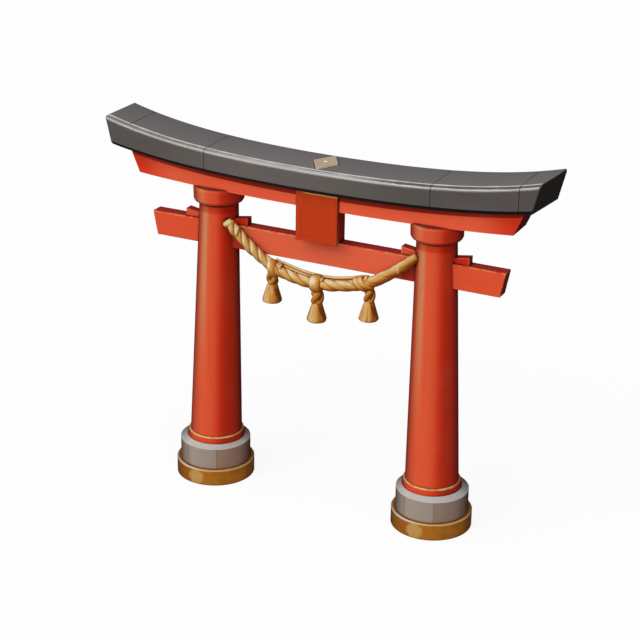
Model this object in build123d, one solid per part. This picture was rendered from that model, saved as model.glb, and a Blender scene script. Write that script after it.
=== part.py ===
from build123d import *
import math
import os

# Torii gate: two leaning tapered posts on round footings, a wedged tie beam, a strut with a
# name board, a lower lintel, a dark bowed top lintel in five lengths, and a slung straw rope.
# X runs along the gate, -Y is the front, Z is up, the floor is z = 0. Millimetres.

# ---- footings ----
POST_SPACING = 3030.0            # post centres at the floor
SHOE_RADIUS = 498.0
SHOE_HEIGHT = 212.0
SHOE_BEVEL = 16.0
PLINTH_RADIUS = 447.0
PLINTH_WALL = 271.0              # height of the drum's upright wall
PLINTH_CROWN = 45.0              # rise of its sloping shoulder
PLINTH_BLOCKS = 7                # curved stones round the drum
PLINTH_TURN = {"left": 30.0, "right": 25.0}      # front joint, degrees towards +X
JOINT_WIDTH = 5.0
JOINT_DEPTH = 5.0
RING_RADIUS = 368.0
RING_HEIGHT = 66.0
RING_LIP = 22.0                  # upright part of the ring's side
BAND_RADIUS = 352.0
BAND_HEIGHT = 17.0

# ---- posts and caps ----
POST_FOOT_RADIUS = 331.0
POST_TOP_RADIUS = 240.0
POST_HEIGHT = 3178.0
POST_TOP_INSET = 78.0            # how far in the post has leaned at its top
CAP_RADIUS = 314.0
CAP_HEIGHT = 190.0
CAP_UNDERCUT = 18.0              # the cap's lower edge stands in by this much
CAP_LIP = 8.0
CAP_SEAT = 27.0                  # how far the lower lintel's middle dips below the caps' tops

# ---- tie beam, wedges, strut, name board ----
BEAM_DROP = 269.0                # beam's top below the caps
BEAM_HEIGHT = 307.0
BEAM_DEPTH = 171.0
BEAM_OVERHANG = 816.0            # top arris beyond the post centre at the floor
BEAM_END_RUN = 59.0              # how far the end cut slopes
BEAM_BEVEL = 7.0
WEDGE_DEPTH = 112.0
WEDGE_REACH = 424.0              # length beyond the post's axis
WEDGE_TIP = 12.0                 # half the gap between two wedge tips
WEDGE_THICK = 95.0
WEDGE_THIN = 30.0
STRUT_WIDTH = 442.0
STRUT_DEPTH = 171.0
BOARD_WIDTH = 544.0
BOARD_THICK = 33.0
BOARD_LIFT = 18.0                # gap between tie beam and name board
BOARD_DROP = 10.0                # gap between name board and top lintel
BOARD_SIDE_RAIL = 68.0
BOARD_TOP_RAIL = 90.0
BOARD_FOOT_RAIL = 62.0
BOARD_BEVEL = 5.0
PANEL_RECESS = 4.0

# ---- lintels ----
LOW_DEPTH = 418.0
LOW_OVERHANG = 916.0             # lower arris beyond the post centre at the floor
LOW_END_ANGLE = 24.7             # end cut, degrees off upright
LOW_HEIGHT = 209.0               # height showing at the middle
LOW_RISE = 127.0                 # rise of the underside, measured at the top lintel's ends
TOP_DEPTH = 660.0
TOP_OVERHANG = 1336.0
TOP_END_ANGLE = 14.0
TOP_END_SKEW = 7.8               # right end cut, degrees out of square in plan
SKEW_BEVEL = 10.0
TOP_HEIGHT = 288.0               # height at the middle
TOP_UNDER_RISE = 218.0
TOP_RISE = 287.0
BOW_ROUNDNESS = 0.57             # share of a bow that grows as x squared, the rest as its fourth power
TOP_BEVEL = 34.0
UNDER_BEVEL = 54.0
CORNER_BEVEL = 24.0
END_LENGTH = 340.0               # the short length at each end
SEAM_OFFSET = 55.0               # inner seams stand inside the post centres by this much
SEAM_WIDTH = 7.0
SEAM_DEPTH = 30.0
HOUSING = 20.0                   # extra height cut away where one timber is scribed to another

# ---- ridge plate ----
PLATE_WIDTH = 308.0
PLATE_LENGTH = 530.0
PLATE_THICK = 26.0
STUD_RADIUS = 22.0
STUD_HEIGHT = 14.0

# ---- rope, knots, tassels ----
ROPE_RADIUS = 60.0
ROPE_FORWARD = 178.0             # centre line in front of the posts' axes
ROPE_HALF_SPAN = 1278.0
ROPE_ABOVE_BEAM = 113.0          # left end above the tie beam
ROPE_SAG = 647.0
ROPE_ROUTE = [                   # along the span, and down the sag
    (-0.9617, 0.0765),
    (-0.744, 0.4855),
    (-0.438, 0.867),
    (-0.156, 0.994),
    (0.196, 0.972),
    (0.509, 0.815),
    (0.782, 0.4815),
    (1.0, 0.105),
]
THIN_RADIUS = 30.0               # over both strands of the doubled cord
THIN_FORWARD = 105.0
THIN_ROUTE = [(-0.469, 0.714), (-0.238, 0.8393), (0.008, 0.884), (0.25, 0.8423), (0.469, 0.711)]
KNOT_RADIUS = 98.0
KNOT_LENGTH = 150.0
KNOT_ROUND = 56.0
KNOT_LIFT = 14.0                 # knot centre above the rope's centre line
KNOT_PLACE = {"left": -0.463, "middle": -0.008, "right": 0.472}
TASSEL_PLACE = {"left": -0.473, "middle": 0.0, "right": 0.535}
BALL_HEIGHT = {"left": 128.0, "middle": 164.0, "right": 125.0}
BALL_SINK = 34.0                 # how far the tassel's ball reaches up into the knot
BALL_RADIUS = 78.0
CROWN_RADIUS = 52.0
NECK_RADIUS = 60.0
SKIRT_RADIUS = 127.0
SKIRT_HEIGHT = 205.0
SKIRT_EDGE = 12.0

FIT = 0.3                        # clearance of curved and sliding fits

# ---- levels and reaches that follow ----
PLINTH_SHOULDER = SHOE_HEIGHT + PLINTH_WALL
PLINTH_TOP = PLINTH_SHOULDER + PLINTH_CROWN
RING_TOP = PLINTH_TOP + RING_HEIGHT
BAND_TOP = RING_TOP + BAND_HEIGHT
CAP_BOTTOM = PLINTH_TOP + POST_HEIGHT
CAP_TOP = CAP_BOTTOM + CAP_HEIGHT
BEAM_TOP = CAP_BOTTOM - BEAM_DROP
BEAM_BOTTOM = BEAM_TOP - BEAM_HEIGHT
LOW_MID = CAP_TOP - CAP_SEAT
TOP_MID_UNDER = LOW_MID + LOW_HEIGHT
TOP_MID = TOP_MID_UNDER + TOP_HEIGHT
TOP_HALF = POST_SPACING / 2.0 + TOP_OVERHANG
LOW_HALF = POST_SPACING / 2.0 + LOW_OVERHANG
SIDES = {"left": -1.0, "right": 1.0}
NODES = {}


def post_x(side, z):
    """Centre of a post at a height."""
    return side * (POST_SPACING / 2.0 - POST_TOP_INSET * z / CAP_BOTTOM)


def post_radius(z):
    share = (z - PLINTH_TOP) / POST_HEIGHT
    return POST_FOOT_RADIUS + share * (POST_TOP_RADIUS - POST_FOOT_RADIUS)


def bow(x, rise):
    """Height a lintel has gained at x; the full rise is reached at the top lintel's ends."""
    t = abs(x) / TOP_HALF
    return rise * (BOW_ROUNDNESS * t ** 2 + (1.0 - BOW_ROUNDNESS) * t ** 4)


def turned(points):
    """Solid turned about Z from (radius, height) corners."""
    corners = [(r, 0, z) for r, z in points]
    return revolve(make_face(Polyline(*corners, corners[0])), Axis.Z, 360)


def side_prism(corners, depth):
    """Flat outline in the X-Z plane given depth about y = 0."""
    points = [(x, 0, z) for x, z in corners]
    face = make_face(Polyline(*points, points[0]))
    return extrude(face, amount=depth / 2.0, dir=(0, 1, 0), both=True)


def post_solid(side, grow=0.0, z0=PLINTH_TOP, z1=CAP_BOTTOM):
    """Leaning tapered post, cut level at both ends."""
    low = z0 - POST_FOOT_RADIUS / 4.0
    high = z1 + POST_FOOT_RADIUS / 4.0
    cone = turned([(0, low), (post_radius(low) + grow, low), (post_radius(high) + grow, high), (0, high)])
    lean = math.degrees(math.atan(POST_TOP_INSET / CAP_BOTTOM))
    leaned = Pos(side * POST_SPACING / 2.0, 0, 0) * Rot(0, -side * lean, 0) * cone
    slab = Box(5.0 * POST_FOOT_RADIUS, 5.0 * POST_FOOT_RADIUS, z1 - z0)
    return leaned & Pos(side * POST_SPACING / 2.0, 0, (z0 + z1) / 2.0) * slab


def bowed_beam(half_low, end_angle, depth, under, under_rise, over, over_rise, inset=0.0):
    """Beam bowed below and above, with sloping end cuts and its depth about y = 0."""
    steps = 12
    low_x = half_low - inset
    climb = over + bow(half_low, over_rise) - under - bow(half_low, under_rise) - 2.0 * inset
    top_x = low_x + climb * math.tan(math.radians(end_angle))
    lower = []
    upper = []
    for i in range(steps + 1):
        share = -1.0 + 2.0 * i / steps
        lower.append(Vector(share * low_x, 0, under + bow(share * low_x, under_rise) + inset))
        upper.append(Vector(share * top_x, 0, over + bow(share * top_x, over_rise) - inset))
    outline = Wire([
        Edge.make_spline(lower),
        Edge.make_line(lower[-1], upper[-1]),
        Edge.make_spline(upper[::-1]),
        Edge.make_line(upper[0], lower[0]),
    ])
    return extrude(Face(outline), amount=depth / 2.0 - inset, dir=(0, 1, 0), both=True)


def wedge(side, outer, grow=0.0):
    """Wedge lying on the tie beam, thick end out of the post, tip near the post's axis."""
    axis = abs(post_x(side, BEAM_TOP))
    way = 1.0 if outer else -1.0
    slope = (WEDGE_THICK - WEDGE_THIN) / (WEDGE_REACH - WEDGE_TIP)
    near = 0.0 if grow else WEDGE_TIP
    near_top = BEAM_TOP + WEDGE_THIN + slope * (near - WEDGE_TIP) + grow
    far_top = BEAM_TOP + WEDGE_THICK + grow
    outline = [
        (side * (axis + way * near), BEAM_TOP),
        (side * (axis + way * WEDGE_REACH), BEAM_TOP),
        (side * (axis + way * WEDGE_REACH), far_top),
        (side * (axis + way * near), near_top),
    ]
    return side_prism(outline, WEDGE_DEPTH + 2.0 * grow)


os.makedirs("parts", exist_ok=True)

# ---- tie beam, through both posts ----
beam_half = POST_SPACING / 2.0 + BEAM_OVERHANG
beam = side_prism([
    (-beam_half + BEAM_END_RUN, BEAM_BOTTOM),
    (beam_half - BEAM_END_RUN, BEAM_BOTTOM),
    (beam_half, BEAM_TOP),
    (-beam_half, BEAM_TOP),
], BEAM_DEPTH)
NODES["tie_beam"] = chamfer(beam.edges(), BEAM_BEVEL)

# ---- each side: footing, post with its mortise, wedges, cap ----
cap_recess = {}
for name, side in SIDES.items():
    foot = Pos(post_x(side, 0.0), 0, 0)
    NODES[name + "_base_shoe"] = foot * turned([
        (0, 0),
        (SHOE_RADIUS, 0),
        (SHOE_RADIUS, SHOE_HEIGHT - SHOE_BEVEL),
        (SHOE_RADIUS - SHOE_BEVEL, SHOE_HEIGHT),
        (0, SHOE_HEIGHT),
    ])

    drum = turned([
        (0, SHOE_HEIGHT),
        (PLINTH_RADIUS, SHOE_HEIGHT),
        (PLINTH_RADIUS, PLINTH_SHOULDER),
        (RING_RADIUS, PLINTH_TOP),
        (0, PLINTH_TOP),
    ])
    joint_middle = (SHOE_HEIGHT + PLINTH_SHOULDER) / 2.0
    for i in range(PLINTH_BLOCKS):
        angle = PLINTH_TURN[name] - 90.0 + 360.0 * i / PLINTH_BLOCKS
        cut = Pos(PLINTH_RADIUS, 0, joint_middle) * Box(2.0 * JOINT_DEPTH, JOINT_WIDTH, PLINTH_WALL)
        drum = drum - Rot(0, 0, angle) * cut
    NODES[name + "_plinth_stone"] = foot * drum

    ring_place = Pos(post_x(side, PLINTH_TOP), 0, 0)
    ring = ring_place * turned([
        (0, PLINTH_TOP),
        (RING_RADIUS, PLINTH_TOP),
        (RING_RADIUS, PLINTH_TOP + RING_LIP),
        (BAND_RADIUS, RING_TOP),
        (0, RING_TOP),
    ])
    NODES[name + "_foot_ring"] = ring - post_solid(side, FIT, PLINTH_TOP - RING_LIP, RING_TOP + RING_LIP)
    band = ring_place * turned([
        (0, RING_TOP),
        (BAND_RADIUS, RING_TOP),
        (BAND_RADIUS, RING_TOP + BAND_HEIGHT * 0.5),
        (BAND_RADIUS - BAND_HEIGHT * 0.5, BAND_TOP),
        (0, BAND_TOP),
    ])
    NODES[name + "_gilt_band"] = band - post_solid(side, FIT, RING_TOP - RING_LIP, BAND_TOP + RING_LIP)

    post = post_solid(side)
    axis = abs(post_x(side, BEAM_TOP))
    mortise = side_prism([
        (side * (axis - 2.0 * POST_FOOT_RADIUS), BEAM_BOTTOM),
        (side * (axis + 2.0 * POST_FOOT_RADIUS), BEAM_BOTTOM),
        (side * (axis + 2.0 * POST_FOOT_RADIUS), BEAM_TOP),
        (side * (axis - 2.0 * POST_FOOT_RADIUS), BEAM_TOP),
    ], BEAM_DEPTH + 2.0 * FIT)
    NODES[name + "_column"] = post - mortise - wedge(side, True, FIT) - wedge(side, False, FIT)
    NODES[name + "_outer_wedge"] = wedge(side, True)
    NODES[name + "_inner_wedge"] = wedge(side, False)

    cap_place = Pos(post_x(side, CAP_BOTTOM), 0, 0)
    NODES[name + "_cap_ring"] = cap_place * turned([
        (0, CAP_BOTTOM),
        (CAP_RADIUS - CAP_UNDERCUT, CAP_BOTTOM),
        (CAP_RADIUS - CAP_LIP * 0.5, CAP_BOTTOM + CAP_UNDERCUT * 1.5),
        (CAP_RADIUS, CAP_TOP - CAP_SEAT),
        (CAP_RADIUS - CAP_LIP, CAP_TOP),
        (0, CAP_TOP),
    ])
    recess = Cylinder(CAP_RADIUS + FIT, CAP_HEIGHT)
    cap_recess[name] = cap_place * Pos(0, 0, CAP_TOP - CAP_HEIGHT / 2.0) * recess

# ---- top lintel: bevelled, then parted into five lengths by fine open seams ----
# The far left seam is closed on the front face.
middle_level = (TOP_MID_UNDER + TOP_MID) / 2.0
end_climb = TOP_MID + TOP_RISE - TOP_MID_UNDER - TOP_UNDER_RISE
top_low_half = TOP_HALF - end_climb * math.tan(math.radians(TOP_END_ANGLE))
top_sizes = (top_low_half, TOP_END_ANGLE, TOP_DEPTH, TOP_MID_UNDER, TOP_UNDER_RISE, TOP_MID, TOP_RISE)
raw_top = bowed_beam(*top_sizes)
underside = min(raw_top.faces(), key=lambda f: f.normal_at().Z)
top = chamfer([e for e in underside.edges() if e.length > TOP_HALF], UNDER_BEVEL)
corner_edges = [e for e in top.edges() if abs((e @ 1 - e @ 0).normalized().Z) > 0.8]
top = chamfer(corner_edges, CORNER_BEVEL)
top = chamfer(max(top.faces(), key=lambda f: f.normal_at().Z).edges(), TOP_BEVEL)
rake = math.radians(TOP_END_ANGLE)
skew = math.radians(TOP_END_SKEW)
upward = Vector(math.sin(rake), 0, math.cos(rake))
forward = Vector(-math.sin(skew), -math.cos(skew), 0)
back_corner = (top_low_half, TOP_DEPTH / 2.0, TOP_MID_UNDER + TOP_UNDER_RISE)
end_plane = Plane(origin=back_corner, x_dir=forward, z_dir=upward.cross(forward))
top = top - end_plane * Pos(0, 0, TOP_DEPTH / 2.0) * Box(4.0 * TOP_DEPTH, 4.0 * TOP_DEPTH, TOP_DEPTH)
end_face = max(top.faces(), key=lambda f: f.normal_at().X)
top = chamfer(end_face.edges(), SKEW_BEVEL)
core = bowed_beam(*top_sizes, SEAM_DEPTH)
seam_inner = POST_SPACING / 2.0 - SEAM_OFFSET
seam_outer = TOP_HALF - END_LENGTH
slab_height = 4.0 * TOP_DEPTH
for seam in (-seam_outer, -seam_inner, seam_inner, seam_outer):
    skipped = TOP_DEPTH / 2.0 + TOP_BEVEL if seam == -seam_outer else 0.0
    slab = Pos(seam, skipped, middle_level) * Box(SEAM_WIDTH, 2.0 * TOP_DEPTH, slab_height)
    top = top - (slab - core)
stops = [-2.0 * TOP_HALF, -seam_outer, -seam_inner, seam_inner, seam_outer, 2.0 * TOP_HALF]
labels = ["left_end", "left", "middle", "right", "right_end"]
for label, x0, x1 in zip(labels, stops[:-1], stops[1:]):
    slab = Pos((x0 + x1) / 2.0, 0, middle_level) * Box(x1 - x0, 2.0 * TOP_DEPTH, slab_height)
    NODES["top_lintel_" + label] = top & slab

# ---- lower lintel: scribed to the top lintel, seated over the caps ----
lower = bowed_beam(
    LOW_HALF, LOW_END_ANGLE, LOW_DEPTH, LOW_MID, LOW_RISE, TOP_MID_UNDER + HOUSING, TOP_UNDER_RISE)
lower = lower - raw_top
for recess in cap_recess.values():
    lower = lower - recess
NODES["lower_lintel"] = lower

# ---- strut on the tie beam, and the name board in front of it ----
strut_height = LOW_MID + HOUSING - BEAM_TOP
strut = Pos(0, 0, BEAM_TOP + strut_height / 2.0) * Box(STRUT_WIDTH, STRUT_DEPTH, strut_height)
NODES["centre_strut"] = strut - lower
board_low = BEAM_TOP + BOARD_LIFT
board_high = TOP_MID_UNDER - BOARD_DROP
board_place = Pos(0, -(LOW_DEPTH + BOARD_THICK) / 2.0, (board_low + board_high) / 2.0)
board = board_place * Box(BOARD_WIDTH, BOARD_THICK, board_high - board_low)
panel_width = BOARD_WIDTH - 2.0 * BOARD_SIDE_RAIL
panel_low = board_low + BOARD_FOOT_RAIL
panel_high = board_high - BOARD_TOP_RAIL
panel_thick = BOARD_THICK - PANEL_RECESS
panel_place = Pos(0, -(LOW_DEPTH + panel_thick) / 2.0, (panel_low + panel_high) / 2.0)
window = panel_place * Box(panel_width, 3.0 * BOARD_THICK, panel_high - panel_low)
NODES["board_frame"] = chamfer(board.edges(), BOARD_BEVEL) - window
NODES["board_panel"] = panel_place * Box(panel_width, panel_thick, panel_high - panel_low)

# ---- lozenge plate bedded on the ridge, with a domed stud ----
corners = [(PLATE_WIDTH / 2.0, 0), (0, PLATE_LENGTH / 2.0), (-PLATE_WIDTH / 2.0, 0), (0, -PLATE_LENGTH / 2.0)]
plate_top = TOP_MID + PLATE_THICK
lozenge = make_face(Polyline(*corners, corners[0]))
plate = Pos(0, 0, TOP_MID - PLATE_THICK) * extrude(lozenge, amount=2.0 * PLATE_THICK)
NODES["ridge_plate"] = plate - raw_top
NODES["ridge_stud"] = turned([
    (0, plate_top),
    (STUD_RADIUS, plate_top),
    (STUD_RADIUS * 0.8, plate_top + STUD_HEIGHT * 0.7),
    (0, plate_top + STUD_HEIGHT),
])


def cord_path(route, forward, label, diameter):
    """Straight runs joined by tangent arcs through the route's corners."""
    high = BEAM_TOP + ROPE_ABOVE_BEAM
    points = [Vector(u * ROPE_HALF_SPAN, -forward, high - v * ROPE_SAG) for u, v in route]
    radii = []
    for a, b, c in zip(points[:-2], points[1:-1], points[2:]):
        half_turn = math.radians((b - a).get_angle(c - b)) / 2.0
        radii.append(0.45 * min((b - a).length, (c - b).length) / math.tan(half_turn))
    path = FilletPolyline(*points, radius=radii)
    print(label, "tightest arc", round(min(radii) / diameter, 1), "diameters, length", round(path.length))
    return path


def tube(path, radius):
    start = Plane(path.position_at(0), z_dir=path.tangent_at(0))
    return sweep(start * Circle(radius), path=path)


# ---- straw rope slung between the posts, and the thin cord over it ----
rope_path = cord_path(ROPE_ROUTE, ROPE_FORWARD, "rope", 2.0 * ROPE_RADIUS)
thin_path = cord_path(THIN_ROUTE, THIN_FORWARD, "thin cord", 2.0 * THIN_RADIUS)
rope = tube(rope_path, ROPE_RADIUS)
for side in SIDES.values():
    rope = rope - post_solid(side, FIT, BEAM_BOTTOM - BEAM_HEIGHT, CAP_BOTTOM)
print("rope volume share of section times length", round(
    rope.volume / (math.pi * ROPE_RADIUS ** 2 * rope_path.length), 3))
NODES["hanging_rope"] = rope
NODES["thin_cord"] = tube(thin_path, THIN_RADIUS)
rope_bore = tube(rope_path, ROPE_RADIUS + FIT)
thin_bore = tube(thin_path, THIN_RADIUS + FIT)


def knot_barrel(centre, along, grow=0.0):
    barrel = Cylinder(KNOT_RADIUS + grow, KNOT_LENGTH + 2.0 * grow)
    return Plane(centre, z_dir=along) * fillet(barrel.edges(), KNOT_ROUND)


# ---- knots round the rope, each with a tassel under it ----
for name, place in KNOT_PLACE.items():
    shares = [i / 400.0 for i in range(401)]
    at = min(shares, key=lambda s: abs(rope_path.position_at(s).X - place * ROPE_HALF_SPAN))
    along = rope_path.tangent_at(at)
    centre = rope_path.position_at(at) + Vector(0, 0, KNOT_LIFT)
    NODES[name + "_knot"] = knot_barrel(centre, along) - rope_bore - thin_bore
    ball_top = centre.Z - KNOT_RADIUS + BALL_SINK
    ball_low = centre.Z - KNOT_RADIUS - BALL_HEIGHT[name]
    ball_span = ball_top - ball_low
    rim = ball_low - SKIRT_HEIGHT
    tassel = Pos(TASSEL_PLACE[name] * ROPE_HALF_SPAN, -ROPE_FORWARD, 0) * turned([
        (0, ball_top),
        (CROWN_RADIUS, ball_top),
        (BALL_RADIUS, ball_top - ball_span * 0.35),
        (BALL_RADIUS, ball_low + ball_span * 0.3),
        (NECK_RADIUS, ball_low),
        (SKIRT_RADIUS, rim + SKIRT_EDGE),
        (SKIRT_RADIUS - SKIRT_EDGE, rim - SKIRT_EDGE),
        (0, rim - 2.0 * SKIRT_EDGE),
    ])
    NODES[name + "_tassel"] = tassel - knot_barrel(centre, along, FIT) - rope_bore
    print(name, "knot centre", [round(v) for v in centre], "tassel rim", round(rim))

for name, shape in NODES.items():
    shape.label = name
    export_step(shape, "parts/" + name + ".step")
print(len(NODES), "nodes")
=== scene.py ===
import bpy
import math
import random
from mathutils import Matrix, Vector


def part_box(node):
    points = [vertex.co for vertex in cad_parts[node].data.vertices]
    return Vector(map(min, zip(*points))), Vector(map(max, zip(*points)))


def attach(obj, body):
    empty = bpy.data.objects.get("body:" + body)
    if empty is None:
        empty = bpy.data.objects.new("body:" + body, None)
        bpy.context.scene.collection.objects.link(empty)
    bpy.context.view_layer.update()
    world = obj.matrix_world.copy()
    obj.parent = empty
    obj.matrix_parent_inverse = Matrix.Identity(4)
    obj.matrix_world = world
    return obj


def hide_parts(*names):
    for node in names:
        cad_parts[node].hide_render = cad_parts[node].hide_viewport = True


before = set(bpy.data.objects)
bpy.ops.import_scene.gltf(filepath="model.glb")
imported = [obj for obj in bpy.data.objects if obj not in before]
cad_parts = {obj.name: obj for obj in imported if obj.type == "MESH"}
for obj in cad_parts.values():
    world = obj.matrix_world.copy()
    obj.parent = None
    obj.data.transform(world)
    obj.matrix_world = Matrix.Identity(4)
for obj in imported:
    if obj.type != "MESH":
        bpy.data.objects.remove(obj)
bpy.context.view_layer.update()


# ---------------------------------------------------------------- camera
# A long lens to the right of the gate and above it, looking down on the front.

lens = bpy.data.cameras.new("viewing_camera")
lens.lens = 97.5147
lens.sensor_width = 36.0
viewer = bpy.data.objects.new("viewing_camera", lens)
viewer.location = (8.4181, -17.5525, 10.4675)
viewer.rotation_euler = [math.radians(angle) for angle in (67.4381, -0.8448, 26.0939)]
bpy.context.scene.collection.objects.link(viewer)
bpy.context.scene.camera = viewer
bpy.context.scene.view_settings.view_transform = "Standard"


# ---------------------------------------------------------------- hanging rope
# The sacred rope between the posts: three thick strands of rice straw laid up by hand,
# hung in an uneven curve, and bound with a fat turn of straw where each end meets its post.

FULL_TURN = 2.0 * math.pi
UNSET_VECTOR = (0.0, 0.0, 0.0)
STRAW_PALE_HIGHLIGHT = (0.77, 0.69, 0.43, 1.0)
STRAW_GOLD = (0.66, 0.41, 0.12, 1.0)
STRAW_BROWN = (0.50, 0.155, 0.014, 1.0)
STRAW_GROOVE_SHADE = (0.13, 0.040, 0.004, 1.0)
STRAW_PAINTED_GLINT = (0.78, 0.71, 0.53, 1.0)
STRAW_UNDERSIDE_SHADE = (0.22, 0.060, 0.008, 1.0)
ROPE_RADIUS = 0.060
ROPE_POINTS = [
    (-1.2291, -0.178, 3.5005),
    (-0.9508, -0.178, 3.2359),
    (-0.5598, -0.178, 2.9891),
    (-0.1994, -0.178, 2.9069),
    (0.2505, -0.178, 2.9211),
    (0.6505, -0.178, 3.0227),
    (0.9994, -0.178, 3.2385),
    (1.2780, -0.178, 3.4821),
]


class Wire:
    """Output of a shader node; whatever is worked out from it is added to the same tree."""

    def __init__(self, socket):
        self.socket = socket
        self.tree = socket.id_data

    def math(self, operation, other=0.0, clamp=False):
        return place(self.tree, "Math", {0: self, 1: other}, operation=operation, use_clamp=clamp)

    def __add__(self, other):
        return self.math("ADD", other)

    def __sub__(self, other):
        return self.math("SUBTRACT", other)

    def __rsub__(self, other):
        return place(self.tree, "Math", {0: other, 1: self}, operation="SUBTRACT")

    def __mul__(self, other):
        return self.math("MULTIPLY", other)

    def __truediv__(self, other):
        return self.math("DIVIDE", other)

    def __abs__(self):
        return self.math("ABSOLUTE")

    def at_least(self, other):
        return self.math("MAXIMUM", other)

    def dot(self, direction):
        return place(self.tree, "VectorMath", {0: self, 1: direction}, "Value", operation="DOT_PRODUCT")

    def axes(self):
        """The three parts of a vector."""
        node = self.tree.nodes.new("ShaderNodeSeparateXYZ")
        feed(node.inputs, {0: self})
        return [Wire(socket) for socket in node.outputs]

    def ramp(self, low, high, to_low=0.0, to_high=1.0, kind="SMOOTHSTEP"):
        """The value carried from one range to another, and held at the ends."""
        inputs = {"Value": self, "From Min": low, "From Max": high, "To Min": to_low, "To Max": to_high}
        return place(self.tree, "MapRange", inputs, interpolation_type=kind)


def feed(sockets, values):
    """Link or fill inputs, by name or number."""
    for key, value in values.items():
        if isinstance(value, Wire):
            value.tree.links.new(value.socket, sockets[key])
        else:
            sockets[key].default_value = value


def place(tree, kind, inputs=None, out=0, **settings):
    """Put a node in a tree, set it up and feed it; gives back one of its outputs."""
    node = tree.nodes.new("ShaderNode" + kind)
    for key, value in settings.items():
        setattr(node, key, value)
    feed(node.inputs, inputs or {})
    return Wire(node.outputs[out])


def blend(amount, first, second, mode="MIX"):
    """Mix of two colours; either the amount or the first colour is a wire."""
    tree = (amount if isinstance(amount, Wire) else first).tree
    return place(tree, "Mix", {0: amount, 6: first, 7: second}, 2, data_type="RGBA", blend_type=mode)


def coats(colour, *layers):
    """Tones laid over a colour one after the other, each as far as its mask reaches."""
    for mask, tone in layers:
        colour = blend(mask, colour, tone)
    return colour


def noise(vector, scale, detail=2.0, roughness=0.5):
    inputs = {"Vector": vector, "Scale": scale, "Detail": detail, "Roughness": roughness}
    return place(vector.tree, "TexNoise", inputs)


def stretch(vector, scale):
    return place(vector.tree, "Mapping", {"Vector": vector, "Scale": scale})


def facing_eye(tree):
    """Nought where the surface faces the eye and one where it turns away."""
    return place(tree, "LayerWeight", {"Blend": 0.5}, "Facing")


def new_effect(name, takes, gives):
    """Shader node group; gives back the group, its inputs as wires, and what its outputs are fed by."""
    group = bpy.data.node_groups.new(name, "ShaderNodeTree")
    for label, default in takes.items():
        kind = "Float" if isinstance(default, float) else "Color" if len(default) == 4 else "Vector"
        socket = group.interface.new_socket(name=label, in_out="INPUT", socket_type="NodeSocket" + kind)
        socket.default_value = default
    for label in gives:
        kind = "Color" if label == "Colour" else "Float"
        group.interface.new_socket(name=label, in_out="OUTPUT", socket_type="NodeSocket" + kind)
    given = group.nodes.new("NodeGroupInput").outputs
    return group, {label: Wire(given[label]) for label in takes}, group.nodes.new("NodeGroupOutput").inputs


def use_effect(tree, effect, inputs):
    node = tree.nodes.new("ShaderNodeGroup")
    node.node_tree = effect
    feed(node.inputs, inputs)
    return {socket.name: Wire(socket) for socket in node.outputs}


def new_finish(name, specular=0.0, metallic=0.0):
    """Material with its Principled shader; gives back the material, its tree and the shader."""
    finish = bpy.data.materials.new(name)
    finish.use_nodes = True
    shader = finish.node_tree.nodes["Principled BSDF"]
    feed(shader.inputs, {"Specular IOR Level": specular, "Metallic": metallic})
    return finish, finish.node_tree, shader


def shade_away(colour, least=0.16, near=0.28, far=0.90, dark=(0.0, 0.0, 0.0, 1.0)):
    """Painted shade: darker where the surface turns away from the eye."""
    return blend(facing_eye(colour.tree).ramp(near, far, 1.0, least, "LINEAR"), dark, colour)


def paint(shader, colour, roughness, height, depth, gloss=None):
    """Feed a finish its colour, roughness and relief, and a clear coat that shows where it faces the eye."""
    tree = shader.id_data
    relief = place(tree, "Bump", {"Height": height, "Distance": depth, "Strength": 1.0})
    feed(shader.inputs, {"Base Color": colour, "Roughness": roughness, "Normal": relief})
    if gloss is not None:
        weight, coat_roughness = gloss
        feed(shader.inputs, {"Coat Weight": facing_eye(tree).ramp(0.25, 0.6, weight, 0.0),
                             "Coat Roughness": coat_roughness})


# The light side: how squarely a face looks towards the bearing the light comes from, raw and as a soft step;
# the finishes paint lit and shaded sides by it.
light_side, given, result = new_effect(
    "light_side", {"Towards": (-0.16, -0.985, 0.06), "From": 0.66, "To": 0.95}, ("Lit Side", "Lean"))
looks = place(light_side, "NewGeometry", out="Normal").dot(given["Towards"])
feed(result, {"Lit Side": looks.ramp(given["From"], given["To"]), "Lean": looks})

# Straw fibre, shared by rope, knots and tassels: fine stalks along the lay and brown streaks, with a painted
# highlight where they face the light, painted shade where they face away or below, and painted shade where
# they sink.
straw_fibre, given, result = new_effect(
    "straw_fibre",
    {"Lay": UNSET_VECTOR, "Sunk": 1.0, "Lean": 0.7, "Pale Highlight": STRAW_PALE_HIGHLIGHT, "Gold": STRAW_GOLD,
     "Brown": STRAW_BROWN, "Deep": STRAW_GROOVE_SHADE, "Streaks": 0.2},
    ("Colour", "Roughness", "Height"))
lean, sunk, brown = given["Lean"], given["Sunk"], given["Brown"]
stalks = noise(stretch(given["Lay"], (5.0, 150.0, 1.0)), 1.0, detail=4.0, roughness=0.6)
bundles = noise(stretch(given["Lay"], (3.0, 22.0, 1.0)), 1.0)
painted_highlight_patches = lean.ramp(0.66, 0.90) * bundles.ramp(0.36, 0.64).ramp(0.0, 1.0, 0.7, 1.0)
between_stalks = (1.0 - stalks.ramp(0.34, 0.66)) * 0.22
fibre_colour = coats(
    given["Gold"],
    (painted_highlight_patches, given["Pale Highlight"]),
    (lean.ramp(0.62, 0.16), brown),
    (bundles.ramp(0.50, 0.62) * given["Streaks"], brown),
    (lean.ramp(0.30, -0.30, 0.0, 0.9), STRAW_UNDERSIDE_SHADE),
    (between_stalks, brown),
    (sunk.ramp(0.10, 0.60, 0.85, 0.0), brown),
    (sunk.ramp(0.0, 0.30, 0.85, 0.0), given["Deep"]))
feed(result, {"Colour": fibre_colour, "Roughness": stalks.ramp(0.3, 0.7, 0.62, 0.46),
              "Height": stalks + bundles * 0.8})


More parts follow.
